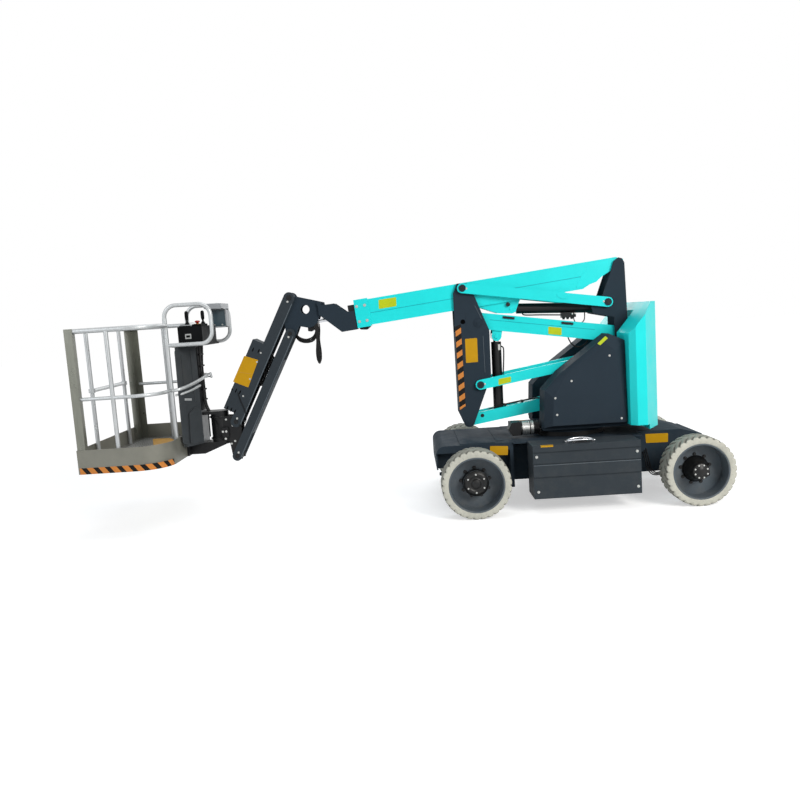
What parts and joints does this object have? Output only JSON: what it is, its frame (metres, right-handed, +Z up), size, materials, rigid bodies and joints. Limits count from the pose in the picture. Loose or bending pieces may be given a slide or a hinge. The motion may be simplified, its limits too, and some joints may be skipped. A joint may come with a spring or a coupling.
{
  "type": "articulating boom lift",
  "caption": "Wheeled articulating boom lift, stowed: double parallelogram riser, telescopic boom, levelled jib and railed work platform on a counterweighted turntable.",
  "frame": {"origin": "centre of the machine's plan box, on the floor under the tyres", "axes": "+X from the platform to the counterweight end, +Y to the machine's right side, +Z up"},
  "size_m": [5.2294, 1.5, 2.0311],
  "materials": {
    "turquoise_paint": "gloss",
    "slate_paint": "satin",
    "black_paint": "satin",
    "slate_cover": "satin",
    "chrome_rod": "polished",
    "platform_alloy": "brushed",
    "console_black": "matte",
    "hood_grey": "satin",
    "solid_tyre": "matte",
    "rim_grey": "satin"
  },
  "bodies": {
    "chassis": {"chassis_frame": "slate_paint", "tie_down_lugs": "slate_paint", "front_hood": "slate_paint", "rear_deck": "slate_paint", "battery_box_left": "slate_paint", "battery_box_right": "slate_paint", "front_axle": "black_paint", "rear_axle": "black_paint", "slew_ring": "black_paint"},
    "knuckle_left": {"knuckle_left": "black_paint"},
    "knuckle_right": {"knuckle_right": "black_paint"},
    "wheel_front_left": {"tyre_front_left": "solid_tyre", "rim_front_left": "rim_grey"},
    "wheel_front_right": {"tyre_front_right": "solid_tyre", "rim_front_right": "rim_grey"},
    "wheel_rear_left": {"tyre_rear_left": "solid_tyre", "rim_rear_left": "rim_grey"},
    "wheel_rear_right": {"tyre_rear_right": "solid_tyre", "rim_rear_right": "rim_grey"},
    "turntable": {"turntable_frame": "slate_paint", "slew_drive": "black_paint", "cover_left": "slate_cover", "cover_right": "slate_cover", "counterweight": "turquoise_paint"},
    "lower_arm": {"lower_arm": "turquoise_paint"},
    "lower_links": {"lower_links": "turquoise_paint"},
    "front_upright": {"front_upright": "slate_paint"},
    "upper_arm": {"upper_arm": "turquoise_paint"},
    "upper_links": {"upper_links": "turquoise_paint"},
    "rear_mast": {"rear_mast": "slate_paint"},
    "riser_barrel": {"riser_barrel": "black_paint"},
    "riser_rod": {"riser_rod": "chrome_rod"},
    "main_boom": {"outer_boom": "turquoise_paint", "boom_collar": "turquoise_paint"},
    "inner_boom": {"inner_boom": "slate_paint", "gooseneck": "slate_paint"},
    "lift_barrel": {"lift_barrel": "black_paint"},
    "lift_rod": {"lift_rod": "chrome_rod"},
    "level_rod": {"level_rod": "chrome_rod"},
    "jib_knuckle": {"jib_knuckle": "slate_paint"},
    "jib_arm": {"jib_arm": "slate_paint", "jib_cover": "slate_cover"},
    "jib_link": {"jib_link": "slate_paint"},
    "platform_carrier": {"platform_carrier": "black_paint"},
    "platform": {"platform_support": "black_paint", "platform_tray": "platform_alloy", "front_guard": "platform_alloy", "guard_left": "platform_alloy", "guard_right": "platform_alloy", "console_panel": "slate_cover", "console": "console_black", "console_hood": "hood_grey"},
    "gate_bar": {"gate_bar": "platform_alloy"}
  },
  "joints": [
    {"name": "steer_left", "type": "hinge", "parent": "chassis", "child": "knuckle_left", "pos_m": [0.55761, -0.48, 0.28], "axis": [0, 0, 1], "range_deg": [-38, 38]},
    {"name": "steer_right", "type": "hinge", "parent": "chassis", "child": "knuckle_right", "pos_m": [0.55761, 0.48, 0.28], "axis": [0, 0, 1], "range_deg": [-38, 38]},
    {"name": "wheel_front_left", "type": "hinge", "parent": "knuckle_left", "child": "wheel_front_left", "pos_m": [0.55761, -0.655, 0.28], "axis": [0, 1, 0], "continuous": true},
    {"name": "wheel_front_right", "type": "hinge", "parent": "knuckle_right", "child": "wheel_front_right", "pos_m": [0.55761, 0.655, 0.28], "axis": [0, 1, 0], "continuous": true},
    {"name": "wheel_rear_left", "type": "hinge", "parent": "chassis", "child": "wheel_rear_left", "pos_m": [2.33261, -0.655, 0.28], "axis": [0, 1, 0], "continuous": true},
    {"name": "wheel_rear_right", "type": "hinge", "parent": "chassis", "child": "wheel_rear_right", "pos_m": [2.33261, 0.655, 0.28], "axis": [0, 1, 0], "continuous": true},
    {"name": "slew", "type": "hinge", "parent": "chassis", "child": "turntable", "pos_m": [1.44511, 0, 0.6225], "axis": [0, 0, 1], "range_deg": [-177.5, 177.5]},
    {"name": "riser_lift", "type": "hinge", "parent": "turntable", "child": "lower_arm", "pos_m": [1.80711, 0, 0.89], "axis": [0, 1, 0], "range_deg": [0, 70]},
    {"name": "lower_link_swing", "type": "hinge", "parent": "turntable", "child": "lower_links", "pos_m": [1.91811, 0, 1.212], "axis": [0, 1, 0], "range_deg": [0, 70]},
    {"name": "upright_level", "type": "hinge", "parent": "lower_arm", "child": "front_upright", "pos_m": [0.57546, 0, 0.69493], "axis": [0, 1, 0], "range_deg": [-70, 0]},
    {"name": "upper_arm_swing", "type": "hinge", "parent": "front_upright", "child": "upper_arm", "pos_m": [0.69046, 0, 1.54893], "axis": [0, 1, 0], "range_deg": [-70, 0]},
    {"name": "upper_link_swing", "type": "hinge", "parent": "front_upright", "child": "upper_links", "pos_m": [0.57146, 0, 1.85193], "axis": [0, 1, 0], "range_deg": [-70, 0]},
    {"name": "mast_level", "type": "hinge", "parent": "upper_arm", "child": "rear_mast", "pos_m": [1.92211, 0, 1.35385], "axis": [0, 1, 0], "range_deg": [0, 70]},
    {"name": "boom_lift", "type": "hinge", "parent": "rear_mast", "child": "main_boom", "pos_m": [1.92211, 0, 1.96985], "axis": [0, 1, 0], "range_deg": [0, 75]},
    {"name": "telescope", "type": "slide", "parent": "main_boom", "child": "inner_boom", "axis": [-0.9949, 0, -0.1011], "range_m": [0, 1.2]},
    {"name": "knuckle_level", "type": "hinge", "parent": "inner_boom", "child": "jib_knuckle", "pos_m": [-0.66104, 0, 1.80094], "axis": [0, 1, 0], "range_deg": [-75, 0]},
    {"name": "level_rod_slide", "type": "slide", "parent": "inner_boom", "child": "level_rod", "axis": [0.9949, 0, 0.1011], "range_m": [0, 0.22]},
    {"name": "jib_lift", "type": "hinge", "parent": "jib_knuckle", "child": "jib_arm", "pos_m": [-0.91504, 0, 1.86794], "axis": [0, 1, 0], "range_deg": [0, 133]},
    {"name": "jib_link_swing", "type": "hinge", "parent": "jib_knuckle", "child": "jib_link", "pos_m": [-0.93104, 0, 1.56194], "axis": [0, 1, 0], "range_deg": [0, 133]},
    {"name": "carrier_level", "type": "hinge", "parent": "jib_arm", "child": "platform_carrier", "pos_m": [-1.46861, 0, 0.82245], "axis": [0, 1, 0], "range_deg": [-133, 0]},
    {"name": "platform_swivel", "type": "hinge", "parent": "platform_carrier", "child": "platform", "pos_m": [-1.62861, 0, 0.55545], "axis": [0, 0, 1], "range_deg": [-90, 90]},
    {"name": "gate_slide", "type": "slide", "parent": "platform", "child": "gate_bar", "axis": [0, 0, 1], "range_m": [0, 0.4]},
    {"name": "riser_barrel_swing", "type": "hinge", "parent": "lower_arm", "child": "riser_barrel", "pos_m": [0.84806, 0, 0.7381], "axis": [0, 1, 0], "range_deg": [-70, 0]},
    {"name": "riser_rod_slide", "type": "slide", "parent": "riser_barrel", "child": "riser_rod", "axis": [0.0085, 0, 1], "range_m": [0, 0.56]},
    {"name": "lift_barrel_swing", "type": "hinge", "parent": "rear_mast", "child": "lift_barrel", "pos_m": [1.72211, 0, 1.61585], "axis": [0, 1, 0], "range_deg": [0, 90]},
    {"name": "lift_rod_slide", "type": "slide", "parent": "lift_barrel", "child": "lift_rod", "axis": [-0.9987, 0, 0.0501], "range_m": [0, 0.56]}
  ],
  "couplings": [
    {"joint": "steer_right", "follows": "steer_left", "ratio": 1},
    {"joint": "lower_link_swing", "follows": "riser_lift", "ratio": 1},
    {"joint": "upright_level", "follows": "riser_lift", "ratio": -1},
    {"joint": "upper_arm_swing", "follows": "riser_lift", "ratio": -1},
    {"joint": "upper_link_swing", "follows": "riser_lift", "ratio": -1},
    {"joint": "mast_level", "follows": "riser_lift", "ratio": 1},
    {"joint": "knuckle_level", "follows": "boom_lift", "ratio": -1},
    {"joint": "level_rod_slide", "follows": "boom_lift", "m_per_rad": 0.155},
    {"joint": "jib_link_swing", "follows": "jib_lift", "ratio": 1},
    {"joint": "carrier_level", "follows": "jib_lift", "ratio": -1},
    {"joint": "riser_barrel_swing", "follows": "riser_lift", "ratio": -0.90259},
    {"joint": "riser_rod_slide", "follows": "riser_lift", "m_per_rad": 0.43408},
    {"joint": "lift_barrel_swing", "follows": "boom_lift", "ratio": 0.94127},
    {"joint": "lift_rod_slide", "follows": "boom_lift", "m_per_rad": 0.3741}
  ]
}
